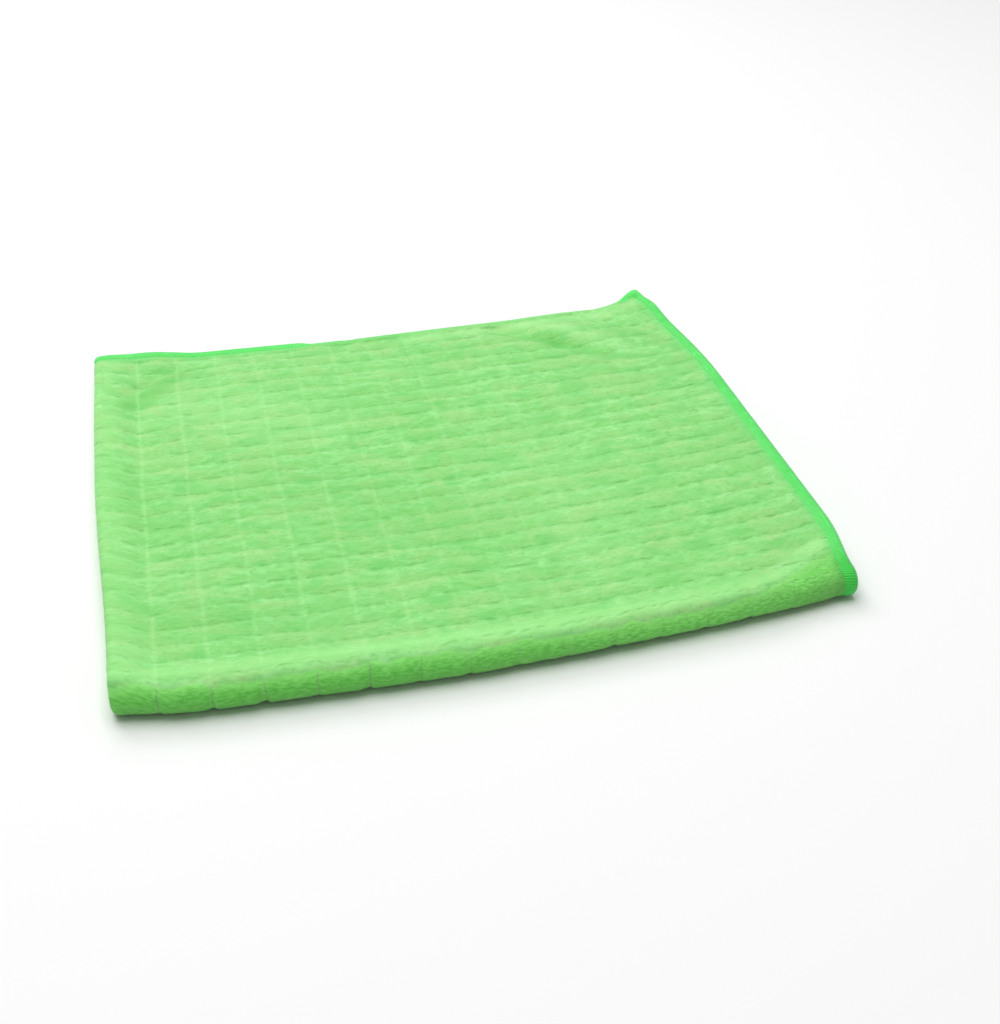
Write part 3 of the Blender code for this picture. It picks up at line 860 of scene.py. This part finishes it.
def pile_normal(m, value):
    """The pile's bumps, one on the other, with heights in metres: ribs of the knit's courses,
    which are strong on the front alone, loops, tufts, and the channels of the rows."""
    ribs = add_node(m, "MapRange", {"Value": value.front, "To Min": 0.05, "To Max": 1.35})
    ribs = add_node(m, "Math", {0: ribs.outputs[0], 1: value.courses}, operation="MULTIPLY")
    below = {}
    for height, distance, sunk in ((ribs.outputs[0], 0.00016, False),
                                   (value.loops, 0.00009, False),
                                   (value.tufts, 0.00045, False), (value.row, 0.00018, True)):
        bump = add_node(m, "Bump", {"Height": height, "Strength": 1.0, "Distance": distance,
                                    **below}, invert=sunk)
        below = {"Normal": bump.outputs[0]}
    return bump.outputs[0]


def microfibre_pile():
    """Polyester and polyamide microfibre, knitted as short dense loops and pressed in a grid.
    It looks soft and matt, with a faint bloom, fine courses across and a mottled pile."""
    m = new_material("microfibre_pile")
    value = pile_values(m)
    shader = add_node(m, "BsdfPrincipled", {
        "Base Color": pile_colour(m, value), "Roughness": 0.92, "Specular IOR Level": 0.18,
        "Sheen Weight": 0.2, "Sheen Roughness": 0.5, "Sheen Tint": (0.9, 1.0, 0.88, 1.0),
        "Normal": pile_normal(m, value)})
    add_node(m, "OutputMaterial", {"Surface": shader.outputs[0]})
    return m


def overlock_thread():
    """Textured polyester thread in a bright green, packed close over the edge. It is smoother
    than the pile, with a soft gleam along each turn."""
    m = new_material("overlock_thread")
    place = add_node(m, "TexCoord").outputs["Object"]
    edge, bend = [add_node(m, "Attribute", attribute_name=name).outputs["Fac"]
                  for name in ("edge", "bend")]
    # fibres 0.4 mm apart, and lengths of 5 mm that differ in tone
    fibres = add_node(m, "TexNoise", {"Vector": place, "Scale": 2600.0, "Detail": 2.0})
    uneven = add_node(m, "TexNoise", {"Vector": place, "Scale": 190.0, "Detail": 2.0})
    colour = lay_tints(m, "#5aea64", [
        ("#76f27e", uneven.outputs["Fac"]),
        # the pile's fibres reach over the inner ends of the stitches
        ("#78e074", Share(edge, 0.0028, 0.0043, 0.0, 0.50)),
        # a painted highlight along the rim
        ("#a4f0b8", Share(edge, 0.0, 0.0010, 0.40, 0.0)),
        # painted shade on the binding round the front
        ("#3cd046", Share(bend, 0.0, -1.3, 0.0, 0.85))])
    bump = add_node(m, "Bump", {"Height": fibres.outputs["Fac"], "Strength": 0.5,
                                "Distance": 0.00010})
    shader = add_node(m, "BsdfPrincipled", {
        "Base Color": colour, "Roughness": 0.6, "Specular IOR Level": 0.25,
        "Sheen Weight": 0.2, "Sheen Roughness": 0.4, "Sheen Tint": (0.7, 1.0, 0.95, 1.0),
        "Normal": bump.outputs[0]})
    add_node(m, "OutputMaterial", {"Surface": shader.outputs[0]})
    return m


def studio_floor():
    """Matt white board, for the surface that the cloth lies on."""
    m = new_material("white_board")
    shader = add_node(m, "BsdfPrincipled", {"Base Color": linear("#f6f6f6"), "Roughness": 0.9,
                                            "Specular IOR Level": 0.1})
    add_node(m, "OutputMaterial", {"Surface": shader.outputs[0]})
    return m


# ---------------------------------------------------------------- the scene

def add_camera():
    """The photograph's view: 32 degrees down, turned 13 degrees to the right of straight on."""
    camera = bpy.data.objects.new("camera", bpy.data.cameras.new("camera"))
    bpy.context.scene.collection.objects.link(camera)
    camera.data.lens = CAMERA_LENS
    camera.data.sensor_width = CAMERA_SENSOR
    camera.data.clip_start, camera.data.clip_end = CAMERA_CLIP
    camera.location = CORNER + np.array(CAMERA_PLACE)
    camera.rotation_euler = (math.radians(90.0 - CAMERA_DOWN), 0.0, math.radians(-CAMERA_TURN))
    bpy.context.scene.camera = camera


def add_softbox(name, box):
    """A rectangular studio light, aimed at the middle of the floor."""
    light = bpy.data.lights.new(name, "AREA")
    light.shape = "RECTANGLE"
    light.size, light.size_y = box.width, box.length
    light.energy = box.power
    lamp = bpy.data.objects.new(name, light)
    bpy.context.scene.collection.objects.link(lamp)
    towards = -np.array(box.place) / np.linalg.norm(box.place)
    lamp.location = box.place
    lamp.rotation_euler = (math.acos(-towards[2]), 0.0,
                           math.atan2(towards[1], towards[0]) - math.pi / 2)


def light_studio():
    """An even white world and the softboxes, shown without a film curve."""
    world = bpy.data.worlds.new("studio")
    world.use_nodes = True
    background = world.node_tree.nodes["Background"]
    background.inputs["Color"].default_value = linear("#ffffff")
    background.inputs["Strength"].default_value = WORLD_STRENGTH
    bpy.context.scene.world = world
    bpy.context.scene.view_settings.view_transform = "Standard"
    for name, box in SOFTBOXES.items():
        add_softbox(name, box)


add_camera()

pile = microfibre_pile()
thread = overlock_thread()
cloth = make_cloth(pile)
band = make_band(thread)
turns = make_turns(thread)

square = np.array([[-1, -1, 0], [1, -1, 0], [1, 1, 0], [-1, 1, 0]], float)
floor = add_piece("floor", FLOOR_HALF * square, [[0, 1, 2, 3]], studio_floor())
light_studio()

for piece, nodes, slot in ((cloth, ["cloth_panel"], "microfibre_pile"),
                           (band, ["edge_binding"], "overlock_thread"),
                           (turns, [], "overlock_thread")):
    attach(piece, "root")
    if nodes:
        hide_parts(*nodes)
